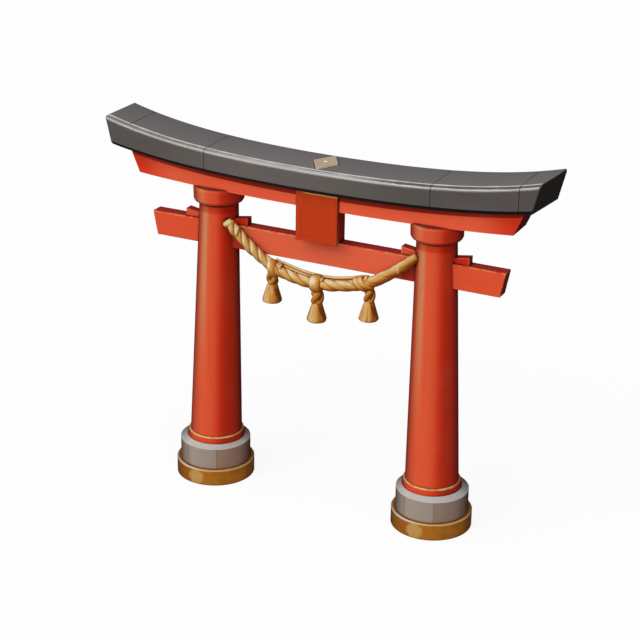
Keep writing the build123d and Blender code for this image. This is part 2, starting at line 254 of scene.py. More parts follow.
def straw_finish(name, pale=STRAW_PALE_HIGHLIGHT, gold=STRAW_GOLD, depth=0.004, lit_more_to=None,
                 towards=(-0.50, -0.50, 0.707), streaks=0.2, painted_glint=0.0):
    """Straw along the lay, with painted light and shade; the reach given after depth is how far along the lay
    the upper side is painted lighter.
    """
    finish, tree, shader = new_finish(name)
    lay = place(tree, "UVMap", uv_map="lay")
    lean = use_effect(tree, light_side, {"Towards": towards})["Lean"]
    if lit_more_to is not None:
        along = lay.axes()[0]
        # Painted lighter near the start of the lay, fading out by that reach, and a little darker from 1.75
        # along.
        lean = lean + along.ramp(0.3, lit_more_to, 0.20, 0.0) - along.ramp(1.75, 2.1, 0.0, 0.15)
    straw = use_effect(tree, straw_fibre, {
        "Lay": lay, "Sunk": place(tree, "Attribute", out="Fac", attribute_name="sunk"), "Lean": lean,
        "Pale Highlight": pale, "Gold": gold, "Streaks": streaks})
    # Painted bright spot where the straw faces the light most squarely, and painted shade where it turns from
    # the eye.
    colour = coats(straw["Colour"], (lean.ramp(0.84, 0.97, 0.0, painted_glint), STRAW_PAINTED_GLINT),
                   (facing_eye(tree).ramp(0.36, 0.80, 0.0, 0.85), STRAW_BROWN))
    paint(shader, shade_away(colour, least=0.35, near=0.60, far=0.98), straw["Roughness"],
          straw["Height"], depth, gloss=(0.08, 0.35))
    return finish


def smooth_line(points, steps=60):
    """Points along the smooth curve that a route's points steer."""
    data = bpy.data.curves.new("route", "CURVE")
    data.dimensions = "3D"
    data.resolution_u = steps
    spline = data.splines.new("NURBS")
    spline.points.add(len(points) - 1)
    for knot, point in zip(spline.points, points):
        knot.co = (*point, 1.0)
    spline.order_u = 3
    spline.use_endpoint_u = True
    guide = bpy.data.objects.new("route", data)
    mesh = bpy.data.meshes.new_from_object(guide)
    line = [vertex.co.copy() for vertex in mesh.vertices]
    bpy.data.meshes.remove(mesh)
    bpy.data.objects.remove(guide)
    bpy.data.curves.remove(data)
    return line


def lengths_along(line):
    reached = [0.0]
    for near, far in zip(line[:-1], line[1:]):
        reached.append(reached[-1] + (far - near).length)
    return reached


def directions(line, i):
    """Along, upper side and front side of a line that lies in an upright plane."""
    along = (line[min(i + 1, len(line) - 1)] - line[max(i - 1, 0)]).normalized()
    front = Vector((0.0, -1.0, 0.0))
    return along, along.cross(front).normalized() * -1.0, front


def round_point(centre, upper, front, radius, angle):
    return centre + upper * (radius * math.cos(angle)) + front * (radius * math.sin(angle))


def within_one(value):
    return max(0.0, min(1.0, value))


def build_straw(name, rings, lay, sinks, finish, closed_ends=True):
    """Straw piece made of rings of points; lay gives its UV map and sinks how deep each point lies."""
    around = len(rings[0])
    points = [point for ring in rings for point in ring]
    faces = []
    corners = []
    for i in range(len(rings) - 1):
        for j in range(around):
            k = (j + 1) % around
            faces.append((i * around + j, i * around + k, (i + 1) * around + k, (i + 1) * around + j))
            corners += [(i, j), (i, j + 1), (i + 1, j + 1), (i + 1, j)]
    if closed_ends:
        for end in (0, len(rings) - 1):
            points.append(sum(rings[end], Vector()) / around)
            for j in range(around):
                k = (j + 1) % around
                first, second = (k, j) if end == 0 else (j, k)
                faces.append((end * around + first, end * around + second, len(points) - 1))
                corners += [(end, j), (end, j + 1), (end, j)]
    mesh = bpy.data.meshes.new(name)
    mesh.from_pydata(points, [], faces)
    uv = mesh.uv_layers.new(name="lay")
    for loop, (i, j) in zip(uv.data, corners):
        loop.uv = lay(i, j)
    depths = [depth for row in sinks for depth in row]
    depths += [0.5] * (len(points) - len(depths))
    mesh.attributes.new("sunk", "FLOAT", "POINT").data.foreach_set("value", depths)
    mesh.update()
    piece = bpy.data.objects.new(name, mesh)
    bpy.context.scene.collection.objects.link(piece)
    bpy.ops.object.select_all(action="DESELECT")
    piece.select_set(True)
    bpy.context.view_layer.objects.active = piece
    bpy.ops.object.mode_set(mode="EDIT")
    bpy.ops.mesh.select_all(action="SELECT")
    bpy.ops.mesh.normals_make_consistent(inside=False)
    bpy.ops.object.mode_set(mode="OBJECT")
    bpy.ops.object.shade_smooth()
    mesh.materials.append(finish)
    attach(piece, "root")
    return piece


def lobed(turn, strands, fullness):
    """Reach of a bundle of strands at a turn, as a share of the rope's radius."""
    best = 0.0
    for strand in range(strands):
        away = turn - FULL_TURN * strand / strands
        within = fullness ** 2 - ((1.0 - fullness) * math.sin(away)) ** 2
        best = max(best, (1.0 - fullness) * math.cos(away) + math.sqrt(within))
    return best


def rope_lay_length(share):
    """Length of one full turn of a strand: short at the left, long and slack at the right."""
    tightest, easing, slack, slack_from = 0.40, 0.12, 0.75, 0.62
    return tightest + easing * min(1.0, share * 2.2) + slack * max(0.0, share - slack_from)


def rope_fullness(share):
    """How far the strands fill the round: well parted at the left, pressed smooth at the right."""
    parted, filling, pressed, pressed_from = 0.72, 0.05, 0.10, 0.68
    return parted + filling * share + pressed * within_one((share - pressed_from) * 8.0)


rope_line = smooth_line(ROPE_POINTS)
rope_reach = lengths_along(rope_line)
rope_length = rope_reach[-1]
rope_strands = 3
rope_full = 0.0715
rope_lift = 0.0045
rope_around = 48
left_taper, right_taper = 0.13, 0.34
lump, ripple = 0.030, 0.02
first_turn = 2.2
rope_turns = [first_turn]
for before, after in zip(rope_reach[:-1], rope_reach[1:]):
    rope_turns.append(rope_turns[-1] + FULL_TURN * (after - before) / rope_lay_length(after / rope_length))

rope_rings = []
rope_sinks = []
for reached, twist, i in zip(rope_reach, rope_turns, range(len(rope_line))):
    along, upper, front = directions(rope_line, i)
    share = reached / rope_length
    fullness = rope_fullness(share)
    groove = lobed(math.pi / rope_strands, rope_strands, fullness)
    left_end = min(1.0, reached / left_taper)
    right_end = min(1.0, (rope_length - reached) / right_taper)
    rounding = (0.72 + 0.28 * left_end ** 0.7) * (0.66 + 0.34 * right_end ** 0.6)
    ring = []
    sink = []
    for j in range(rope_around):
        turn = FULL_TURN * j / rope_around + math.pi / rope_strands
        swell = 1.0 + lump * math.sin(3.1 * reached + 2.0 * turn) + ripple * math.sin(17.0 * reached)
        reach = lobed(turn, rope_strands, fullness)
        radius = rope_full * reach * swell * rounding
        angle = turn + twist
        upward = rope_lift + radius * math.cos(angle)
        ring.append(rope_line[i] + upper * upward + front * (radius * math.sin(angle)))
        sink.append(1.0 - (1.0 - (reach - groove) / (1.0 - groove)) * (1.0 - 0.35 * share))
    rope_rings.append(ring)
    rope_sinks.append(sink)

straw_rope_finish = straw_finish("rice_straw_rope", lit_more_to=1.4, streaks=0.35)
rope = build_straw(
    "straw_rope", rope_rings, lambda i, j: (rope_reach[i], FULL_TURN * ROPE_RADIUS * j / rope_around),
    rope_sinks, straw_rope_finish)
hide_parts("hanging_rope")


def wound_band(name, middle, turns, pitch, coil, half_wide, half_thick, start,
               finish=straw_rope_finish, slant=0.0, lift=0.0):
    """Fat turns of straw wound round the rope, tucked in at both ends; slant leans their tops back."""
    total = FULL_TURN * turns
    steps = max(24, int(turns * 64))
    around = 28
    tuck_in = 0.9
    rings = []
    sinks = []
    for i in range(steps + 1):
        share = i / steps
        angle = start + total * share
        at = middle + pitch * turns * (share - 0.5) - slant * math.cos(angle)
        k = min(range(len(rope_line)), key=lambda n: abs(rope_reach[n] - at))
        along, upper, front = directions(rope_line, k)
        centre = rope_line[k] + along * (at - rope_reach[k]) + upper * lift
        outward = upper * math.cos(angle) + front * math.sin(angle)
        taper = min(1.0, min(share, 1.0 - share) * total / tuck_in)
        taper = taper * taper * (3.0 - 2.0 * taper)
        middle_point = centre + outward * (coil - half_thick * 1.3 * (1.0 - taper))
        ring = []
        sink = []
        for j in range(around):
            turn = FULL_TURN * j / around
            squared = math.copysign(abs(math.cos(turn)) ** 0.8, math.cos(turn))
            wide = half_wide * (0.45 + 0.55 * taper) * squared
            thick = half_thick * (0.5 + 0.5 * taper) * math.sin(turn)
            ring.append(middle_point + along * wide + outward * thick)
            sink.append(within_one(0.22 + 1.3 * max(0.0, math.sin(turn))) * (0.4 + 0.6 * taper))
        rings.append(ring)
        sinks.append(sink)
    return build_straw(
        name, rings,
        lambda i, j: (coil * total * i / steps, FULL_TURN * half_thick * j / around + 0.37 * middle),
        sinks, finish)


left_binding = wound_band("rope_left_binding", middle=0.036, turns=1.15, pitch=0.004, coil=0.031,
                          half_wide=0.042, half_thick=0.041, start=-2.4, slant=-0.022)
plug_around = 32
plug_along, plug_upper, plug_front = directions(rope_line, 0)
plug_rings = [
    [round_point(rope_line[0] + plug_along * offset, plug_upper, plug_front, radius,
                 FULL_TURN * j / plug_around) for j in range(plug_around)]
    for offset, radius in ((-0.016, 0.012), (-0.012, 0.030), (-0.002, 0.046), (0.020, 0.060), (0.060, 0.060))]
left_plug = build_straw("rope_left_plug", plug_rings, lambda i, j: (0.03 * i, 0.012 * j),
                        [[0.8] * plug_around] * len(plug_rings), straw_rope_finish)
left_leaf = wound_band("rope_left_leaf", middle=0.175, turns=0.46, pitch=0.24, coil=0.060,
                       half_wide=0.030, half_thick=0.024, start=-0.75)
right_binding = wound_band("rope_right_binding", middle=rope_length - 0.27, turns=0.55, pitch=-0.22,
                           coil=0.052, half_wide=0.036, half_thick=0.024, start=-0.4)


# ---------------------------------------------------------------- knots on the rope
# Each tassel is tied on with a fat band of straw drawn tight round the rope, with a short tuck
# beside it that catches the thin cord; the right-hand one is two slanting turns.

# The knot straw takes a painted bright spot on the side towards the light.
straw_knot_finish = straw_finish(
    "rice_straw_knot", pale=(0.72, 0.52, 0.24, 1.0), gold=(0.60, 0.30, 0.062, 1.0),
    towards=(-0.33, -0.80, 0.50), streaks=0.35, painted_glint=0.75)
straw_turn_finish = straw_finish(
    "rice_straw_turns", pale=(0.74, 0.56, 0.28, 1.0), gold=(0.64, 0.35, 0.09, 1.0), streaks=0.35)
# Paler straw for the tucks.
straw_tuck_finish = straw_finish("pale_straw_tuck", gold=(0.62, 0.46, 0.22, 1.0))
TUCK_BESIDE = 0.078


def middle_of(node):
    """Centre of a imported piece's box, seen from above."""
    low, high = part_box(node)
    return (low.x + high.x) / 2.0, (low.y + high.y) / 2.0


knots = []
for side, turns, pitch, coil, half_wide, half_thick, start, slant, lift, finish in (
        ("left", 1.12, 0.020, 0.048, 0.068, 0.048, -2.0, 0.034, -0.012, straw_knot_finish),
        ("middle", 1.12, 0.014, 0.066, 0.076, 0.048, -2.0, 0.0, 0.008, straw_knot_finish),
        ("right", 1.95, 0.066, 0.064, 0.042, 0.036, -2.2, 0.040, 0.006, straw_turn_finish)):
    node = side + "_knot"
    middle_x = middle_of(node)[0]
    at = rope_reach[min(range(len(rope_line)), key=lambda n: abs(rope_line[n].x - middle_x))]
    knot = wound_band("straw_" + node, at, turns, pitch, coil, half_wide, half_thick, start, finish, slant,
                      lift)
    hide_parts(node)
    tuck = wound_band("straw_" + side + "_tuck", at + TUCK_BESIDE, turns=0.46, pitch=0.05, coil=0.064,
                      half_wide=0.024, half_thick=0.022, start=-1.5, finish=straw_tuck_finish, lift=0.010)
    knots += [knot, tuck]


# ---------------------------------------------------------------- thin cord
# A light straw cord, doubled, that runs along the top of the rope from knot to knot and keeps
# the knots from sliding.

THIN_RADIUS = 0.030
THIN_POINTS = [
    (-0.5994, -0.105, 3.0880),
    (-0.3042, -0.105, 3.0070),
    (0.0102, -0.105, 2.9781),
    (0.3195, -0.105, 3.0050),
    (0.5994, -0.105, 3.0900),
]
thin_line = smooth_line(THIN_POINTS)
thin_reach = lengths_along(thin_line)
thin_around = 32
thin_full = 0.034
thin_strands, thin_fullness = 2, 0.60
thin_first_turn, thin_lay_length = math.radians(-46.0), 7.0
thin_turns = [FULL_TURN * j / thin_around + math.pi / 2.0 for j in range(thin_around)]
thin_lobes = [lobed(turn, thin_strands, thin_fullness) for turn in thin_turns]
thin_groove = lobed(math.pi / 2.0, thin_strands, thin_fullness)
thin_rings = []
for i, reached in enumerate(thin_reach):
    along, upper, front = directions(thin_line, i)
    centre = thin_line[i] + front * 0.002 + upper * -0.006
    thin_rings.append([
        round_point(centre, upper, front, thin_full * lobe,
                    turn + thin_first_turn + FULL_TURN * reached / thin_lay_length)
        for turn, lobe in zip(thin_turns, thin_lobes)])
thin_sinks = [(lobe - thin_groove) / (1.0 - thin_groove) for lobe in thin_lobes]
thin_cord = build_straw(
    "thin_straw_cord", thin_rings, lambda i, j: (thin_reach[i], FULL_TURN * THIN_RADIUS * j / thin_around),
    [thin_sinks] * len(thin_rings), straw_rope_finish)
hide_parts("thin_cord")


# ---------------------------------------------------------------- tassels
# Combed rice straw under each knot: a lashed ball of crossing turns, then a skirt of straight
# straw that spreads to a cut, slightly rounded hem.

straw_lash_finish = straw_finish(
    "dark_straw_lashing", pale=(0.66, 0.45, 0.18, 1.0), gold=(0.50, 0.21, 0.036, 1.0), streaks=0.5)
tassel_finish = straw_finish(
    "combed_rice_straw", pale=(0.70, 0.52, 0.24, 1.0), gold=(0.64, 0.375, 0.11, 1.0), depth=0.003,
    towards=(-0.60, -0.70, 0.39), streaks=0.6)


def lashing(name, centre, reach, tall, strand, turn0, squeeze=0.011):
    """Closed lashing that crosses itself three times round an upright axis."""
    steps = 132
    around = 14
    line = []
    for i in range(steps):
        t = FULL_TURN * i / steps
        out = reach + squeeze * math.cos(3.0 * t)
        line.append(centre + Vector((out * math.cos(2.0 * t + turn0), out * math.sin(2.0 * t + turn0),
                                     tall * math.sin(3.0 * t))))
    turns = [FULL_TURN * j / around for j in range(around)]
    rings = []
    for i in range(steps + 1):
        here = line[i % steps]
        along = (line[(i + 1) % steps] - line[i % steps - 1]).normalized()
        outward = Vector((here.x - centre.x, here.y - centre.y, (here.z - centre.z) * 0.6))
        outward = (outward - along * outward.dot(along)).normalized()
        across = along.cross(outward)
        rings.append([
            here + outward * (strand * 0.82 * math.sin(turn)) + across * (strand * 1.15 * math.cos(turn))
            for turn in turns])
    sinks = [[within_one(0.35 + 0.8 * math.sin(turn)) for turn in turns]] * len(rings)
    return build_straw(
        name, rings, lambda i, j: (0.55 * i / steps, FULL_TURN * strand * j / around), sinks,
        straw_lash_finish, closed_ends=False)


def straw_skirt(name, axis_x, axis_y, crown, hem, profile, pleats, seed, creased):
    """Upright bundle of combed straw; profile gives (share of height from crown, radius)."""
    chance = random.Random(seed)
    around = 120
    levels = 40
    neck = 0.2
    pleat_depth, hair_depth, lap_depth = 0.040, 0.003, 0.060
    phases = [chance.uniform(0.0, FULL_TURN) for _ in range(4)]
    fine = [chance.uniform(-1.0, 1.0) for _ in range(around)]
    rings = []
    sinks = []
    for i in range(levels + 1):
        share = i / levels
        for (s0, r0), (s1, r1) in zip(profile[:-1], profile[1:]):
            if s0 <= share <= s1 + 1e-9:
                t = (share - s0) / (s1 - s0)
                radius = r0 + (r1 - r0) * t
                break
        z = crown + (hem - crown) * share
        spread = max(0.0, (share - neck) / (1.0 - neck))
        ring = []
        sink = []
        for j in range(around):
            angle = FULL_TURN * j / around
            fold = 0.5 + 0.5 * math.cos(pleats * angle + phases[0] + 0.8 * math.sin(2.0 * angle + phases[1]))
            crease = 1.0 - abs(math.sin(0.5 * (pleats + 6) * angle + phases[2])) ** 0.5
            round_to = (math.degrees(angle) + 62.0 - 46.0 * spread ** 0.8) % 360.0
            lapped_and_shaded = max(0.0, min(1.0, round_to / 6.0, (118.0 - round_to) / 30.0))
            hollow = pleat_depth * (1.0 - fold) + creased * crease + hair_depth * fine[j] + lap_depth * lapped_and_shaded
            depth = hollow * min(1.0, 0.35 + spread * 3.0)
            reach = radius * (1.0 - depth)
            ring.append(Vector((axis_x + reach * math.cos(angle), axis_y + reach * math.sin(angle), z)))
            # Painted shade: the overlapping panel on the far side and the pleat hollows are given a low sink,
            # so they come out darker.
            sink.append(within_one(1.0 - 5.0 * depth - 0.64 * lapped_and_shaded))
        rings.append(ring)
        sinks.append(sink)
    return build_straw(
        name, rings, lambda i, j: (0.3 * i / levels + seed, 0.7 * j / around), sinks, tassel_finish)


SKIRT_BELOW_NECK = 0.229
CROWN_ABOVE_NECK = 0.045
BALL_ABOVE_NECK = 0.150
core_around = 24
for side, pleats, seed, turn0, creased, strand, ball_reach in (
        ("left", 3, 3, 1.5, 0.008, 0.029, 0.042), ("middle", 5, 8, 0.4, 0.014, 0.033, 0.044),
        ("right", 11, 5, 2.3, 0.026, 0.027, 0.040)):
    low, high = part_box(side + "_tassel")
    axis_x, axis_y = middle_of(side + "_tassel")
    neck_z = low.z + SKIRT_BELOW_NECK
    wide = (high.x - low.x) / 2.0
    skirt = straw_skirt(
        "straw_" + side + "_tassel", axis_x, axis_y, neck_z + CROWN_ABOVE_NECK, low.z,
        [(0.0, 0.030), (0.10, 0.058), (0.20, 0.066), (0.36, 0.083), (0.60, 0.82 * wide), (0.82, 0.97 * wide),
         (0.90, wide), (0.95, wide * 0.965), (0.985, wide * 0.82), (1.0, wide * 0.55)],
        pleats, seed, creased)
    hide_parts(side + "_tassel")
    top = min(high.z, neck_z + BALL_ABOVE_NECK)
    lashing("straw_" + side + "_lashing", Vector((axis_x, axis_y, (neck_z + top) / 2.0 + 0.004)), ball_reach,
            (top - neck_z) / 2.0 - 0.012, strand, turn0)
    core_rings = [
        [Vector((axis_x + radius * math.cos(FULL_TURN * j / core_around),
                 axis_y + radius * math.sin(FULL_TURN * j / core_around), z)) for j in range(core_around)]
        for z, radius in (
            (neck_z - 0.01, 0.050), (neck_z + 0.03, 0.054), (top - 0.03, 0.054), (top + 0.03, 0.040))]
    # The core is given a low sink, so it is painted in deep shade.
    build_straw("straw_" + side + "_core", core_rings, lambda i, j: (0.05 * i, 0.012 * j),
                [[0.08] * core_around] * len(core_rings), straw_lash_finish)


# ---------------------------------------------------------------- posts, caps and foot rings
# Round posts turned from cypress trunks, tapered and leaned, with a turned cap at the top and a
# flared ring at the foot. All are brushed with vermilion lacquer along the grain. Posts and caps
# carry a painted highlight stripe, and the posts a painted shadow under the cap.

WHITE = (1.0, 1.0, 1.0, 1.0)
VERMILION = (0.76, 0.038, 0.0105, 1.0)
VERMILION_DEEP = (0.48, 0.018, 0.006, 1.0)
VERMILION_FADED_AND_LIT = (0.75, 0.098, 0.036, 1.0)
VERMILION_HIGHLIGHT = (0.64, 0.255, 0.11, 1.0)
VERMILION_PAINTED_SHADOW = (0.26, 0.012, 0.005, 1.0)
PAINTED_SHADE_DARK = (0.022, 0.010, 0.009, 1.0)
LACQUER_SHADE = (0.048, 0.028, 0.030, 1.0)
UPRIGHT = (0.0, math.radians(90.0), 0.0)

# Timber under paint: long brush marks and grain along the first axis of the vector it is given.
painted_grain, given, result = new_effect(
    "painted_grain",
    {"Along": UNSET_VECTOR, "Fresh": VERMILION, "Deep": VERMILION_DEEP, "Sunned": VERMILION_FADED_AND_LIT,
     "Weathering": 0.35},
    ("Colour", "Roughness", "Height"))
brush = noise(stretch(given["Along"], (0.9, 26.0, 26.0)), 1.0, detail=5.0, roughness=0.62)
fibres = noise(stretch(given["Along"], (5.0, 160.0, 160.0)), 1.0, detail=3.0)
cloudy = noise(given["Along"], 1.7, detail=3.0)
grain_colour = coats(given["Fresh"], (brush.ramp(0.52, 0.75) * given["Weathering"], given["Deep"]),
                     (cloudy.ramp(0.48, 0.72) * given["Weathering"], given["Sunned"]))
feed(result, {"Colour": grain_colour, "Roughness": cloudy.ramp(0.3, 0.7, 0.40, 0.52),
              "Height": fibres * 0.35 + brush})

# Edge wear: where the surface turns sharply, broken up so the rubbing looks handled, not drawn.
rubbed_edges, given, result = new_effect(
    "rubbed_edges", {"Width": 0.008, "Break-up": 14.0, "Strength": 1.0}, ("Rubbed",))
rounded = place(rubbed_edges, "Bevel", {"Radius": given["Width"]}, samples=6)
turned_edge = rounded.dot(place(rubbed_edges, "NewGeometry", out="Normal")).ramp(0.995, 0.93)
broken = noise(place(rubbed_edges, "TexCoord", out="Object"), given["Break-up"], detail=4.0, roughness=0.65)
worn_edge = turned_edge * broken.ramp(0.42, 0.60)
feed(result, {"Rubbed": worn_edge.math("MULTIPLY", given["Strength"], clamp=True)})

# Painted shade in closed corners and joints, where little light reaches.
painted_corner_shade, given, result = new_effect("painted_corner_shade", {"Distance": 0.05, "Strength": 0.8}, ("Corner Shade",))
closed = place(painted_corner_shade, "AmbientOcclusion", {"Distance": given["Distance"]}, "AO", samples=8,
               only_local=False)
feed(result, {"Corner Shade": closed.ramp(0.48, 0.93, 1.0, 0.0) * given["Strength"]})

# Painted highlight stripe down a round post, strongest under the cap and gone towards the foot.
painted_highlight_stripe, given, result = new_effect(
    "painted_highlight_stripe",
    {"Place": UNSET_VECTOR, "Bearing": -0.25, "Spread": 0.2, "Low": 1.0, "High": 3.0}, ("Highlight",))
x, y, z = given["Place"].axes()
aside = abs(x.math("ARCTAN2", y * -1.0) - given["Bearing"]) / given["Spread"]
feed(result, {"Highlight": aside.ramp(0.15, 1.0, 1.0, 0.0) * z.ramp(given["Low"], given["High"])})


def rubbing(tree, width, break_up, strength):
    inputs = {"Width": width, "Break-up": break_up, "Strength": strength}
    return use_effect(tree, rubbed_edges, inputs)["Rubbed"]


def corner_shade_of(tree, reach, strength):
    return use_effect(tree, painted_corner_shade, {"Distance": reach, "Strength": strength})["Corner Shade"]


def tint(colour, mask, tone):
    return blend(1.0, colour, blend(mask, WHITE, tone), "MULTIPLY")


def true_facing(tree):
    """The three parts of the direction a face looks in."""
    return place(tree, "NewGeometry", out="True Normal").axes()


def lacquer(name, turn=UNSET_VECTOR, fresh=VERMILION, deep=VERMILION_DEEP, faded_and_lit=VERMILION_FADED_AND_LIT,
            weathering=0.25, rubbed=None, rub_width=0.008, rub_strength=0.5, rub_from=None, drip=None,
            upper=None, corner_shade_strength=0.8, corner_shade_reach=0.05, highlight_stripe=None, under=None, band=None, rope_shadow_line=None):
    """Lacquer brushed along the timber, with painted light and shade; turn lays the grain along another axis.
    """
    finish, tree, shader = new_finish(name)
    where = place(tree, "TexCoord", out="Object")
    x, y, z = where.axes()
    lit_side = use_effect(tree, light_side, {})
    # Painted light: faces turned towards the light take the paler lit tone; the same tone also marks faded
    # patches in the grain.
    coat = blend(lit_side["Lit Side"], fresh, faded_and_lit)
    if highlight_stripe is not None:
        # Painted highlight: a paler stripe down the post on the side towards the light.
        axis_x, lean, bearing, low, high = highlight_stripe
        spot = place(tree, "CombineXYZ", {"X": x + (z * lean - axis_x), "Y": y, "Z": z})
        stripe_outputs = use_effect(tree, painted_highlight_stripe, {
            "Place": spot, "Bearing": math.radians(bearing), "Spread": math.radians(19.0), "Low": low,
            "High": high})
        coat = blend(stripe_outputs["Highlight"] * 0.9, coat, VERMILION_HIGHLIGHT)
    grain = use_effect(tree, painted_grain, {
        "Along": place(tree, "Mapping", {"Vector": where, "Rotation": turn}), "Fresh": coat, "Deep": deep,
        "Sunned": faded_and_lit, "Weathering": weathering})
    colour = grain["Colour"]
    if under is not None:
        # Painted shadow just below the overhang: darker lacquer, and a painted dark contact line at the
        # joint.
        colour = tint(colour, z.ramp(under - 0.128, under - 0.110), (0.88, 0.53, 0.43, 1.0))
        colour = blend(z.ramp(under - 0.041, under - 0.031, 0.0, 0.92), colour, PAINTED_SHADE_DARK)
    if rubbed is not None:
        worn = rubbing(tree, rub_width, 9.0, rub_strength)
        if rub_from is not None:
            # Only near the top, and more towards the ends.
            worn = worn * z.ramp(rub_from - 0.02, rub_from, 0.15, 1.0)
            worn = worn.math("MULTIPLY", abs(x).ramp(1.4, 2.0, 1.0, 2.5), clamp=True)
        if drip is not None:
            # A thin worn line that starts left of the middle and runs to the right.
            worn = worn.at_least(abs(z - drip).ramp(0.009, 0.005, 0.0, 0.9) * x.ramp(-0.20, -0.12))
        colour = blend(worn, colour, rubbed)
    if band is not None:
        # Painted shadow of the timber above: a darker strip that follows its bow, and painted shade darker
        # towards the ends.
        middle, half, rise, roundness, tall = band
        square = abs(x / half).math("POWER", 2.0)
        bow = square * (square * (1.0 - roundness) + roundness)
        narrowed = (bow * rise + middle) - z + square * 0.026
        shadow_strip = narrowed.ramp(tall, tall - 0.010) * square.ramp(0.2, 0.8, 0.95, 0.72)
        colour = blend(shadow_strip, colour, VERMILION_PAINTED_SHADOW)
        colour = tint(colour, square.ramp(0.44, 0.74), (0.80, 0.32, 0.20, 1.0))
    if rope_shadow_line is not None:
        # Painted shadow of the rope and posts on the beam: beside the posts below the rope's ends, and from
        # the post centres outwards.
        outward = abs(x)
        below_rope = (outward * 0.65 + rope_shadow_line - z).ramp(-0.01, 0.02)
        rope_shadow = below_rope * (outward.ramp(1.0, 1.07) * outward.ramp(1.60, 1.50))
        colour = tint(colour, rope_shadow, (0.62, 0.24, 0.30, 1.0))
        colour = tint(colour, outward.ramp(1.45, 1.60), (0.97, 0.70, 0.58, 1.0))
    # Painted shade in corners and joints, and on faces turned away from the light; up-facing faces take their
    # own red, painted darker in their corners.
    corner_shade = corner_shade_of(tree, corner_shade_reach, corner_shade_strength)
    away_side_shade = lit_side["Lean"].ramp(0.86, 0.52, 1.0, 0.72)
    colour = blend(1.0, blend(corner_shade, colour, PAINTED_SHADE_DARK), away_side_shade, "MULTIPLY")
    if upper is not None:
        colour = blend(true_facing(tree)[2].ramp(0.80, 0.92), colour, blend(corner_shade.ramp(0.1, 0.8), upper, PAINTED_SHADE_DARK))
    paint(shader, shade_away(colour, dark=LACQUER_SHADE), grain["Roughness"], grain["Height"], depth=0.0012,
          gloss=(0.12, 0.3))
    return finish


def dress(nodes, finish):
    """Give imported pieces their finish."""
    for node in nodes:
        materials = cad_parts[node].data.materials
        materials.clear()
        materials.append(finish)


FOOT_LEVEL = 0.55
foot_lacquer = lacquer("vermilion_foot_lacquer", turn=UPRIGHT, corner_shade_reach=0.03,
                       fresh=(0.60, 0.030, 0.008, 1.0), faded_and_lit=(0.66, 0.060, 0.018, 1.0))
for side, bearing in (("left", -14.0), ("right", -22.0)):
    low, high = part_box(side + "_cap_ring")
    foot_x = middle_of(side + "_foot_ring")[0]
    lean = (foot_x - middle_of(side + "_cap_ring")[0]) / (high.z - FOOT_LEVEL)
    axis_x = foot_x + lean * FOOT_LEVEL
    dress([side + "_column"], lacquer(side + "_post_lacquer", turn=UPRIGHT, corner_shade_reach=0.04, corner_shade_strength=0.9,
                                      highlight_stripe=(axis_x, lean, bearing, 1.0, 3.1), under=low.z))
    dress([side + "_cap_ring"], lacquer(side + "_cap_lacquer", turn=UPRIGHT, corner_shade_reach=0.035, corner_shade_strength=0.95,
                                        highlight_stripe=(axis_x, lean, bearing, 3.0, 4.6)))
dress(["left_foot_ring", "right_foot_ring"], foot_lacquer)


# ---------------------------------------------------------------- tie beam, wedges and strut
# Squared timbers: the long beam passes through both posts and is locked by four wedges, and the
# strut stands on it under the lintel. Lacquered, and rubbed to the undercoat on the front arrises.

RUBBED_GOLD = (0.84, 0.46, 0.17, 1.0)
UPPER_RED = (0.78, 0.050, 0.034, 1.0)
FADED_AND_LIT_RED = (0.80, 0.130, 0.058, 1.0)
dress(["tie_beam"], lacquer(
    "vermilion_beam_lacquer", rubbed=RUBBED_GOLD, rub_width=0.030, rub_strength=1.0,
    rub_from=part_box("tie_beam")[1].z - 0.022, upper=UPPER_RED, faded_and_lit=FADED_AND_LIT_RED, weathering=0.15,
    corner_shade_reach=0.035, rope_shadow_line=2.63))
dress(["left_outer_wedge", "right_inner_wedge"], lacquer(
    "vermilion_wedge_lacquer", rubbed=RUBBED_GOLD, rub_width=0.018, rub_strength=0.9, upper=UPPER_RED))
# A shaded copy of the wedge lacquer: darker red for the wedges on the shade side of each post.
dress(["left_inner_wedge", "right_outer_wedge"], lacquer(
    "vermilion_shaded_wedge_lacquer", rubbed=RUBBED_GOLD, rub_width=0.018, rub_strength=0.5, upper=UPPER_RED,
    fresh=(0.64, 0.018, 0.0065, 1.0), faded_and_lit=(0.64, 0.026, 0.009, 1.0)))
dress(["centre_strut"], lacquer("vermilion_strut_lacquer", turn=UPRIGHT))


# ---------------------------------------------------------------- name board
# Plain framed board fixed in front of the strut: a rail all round and a sunk panel, both in a
# deeper, duller red than the gate, and left without lettering.

BOARD_RED = (0.55, 0.047, 0.0088, 1.0)
board_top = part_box("board_frame")[1].z
dress(["board_frame", "board_panel"], lacquer(
    "board_red_lacquer", turn=UPRIGHT, fresh=BOARD_RED, deep=(0.42, 0.030, 0.007, 1.0), faded_and_lit=BOARD_RED,
    rubbed=(0.74, 0.42, 0.09, 1.0), rub_width=0.018, rub_strength=1.0, rub_from=board_top - 0.018,
    drip=board_top - 0.014, corner_shade_strength=0.5, corner_shade_reach=0.012, weathering=0.15))


# ---------------------------------------------------------------- lower lintel
# Heavy bowed cypress timber, lacquered like the posts. It is carried on the caps and scribed to
# the dark lintel above it, whose shadow is painted as a darker strip along the top of its face.

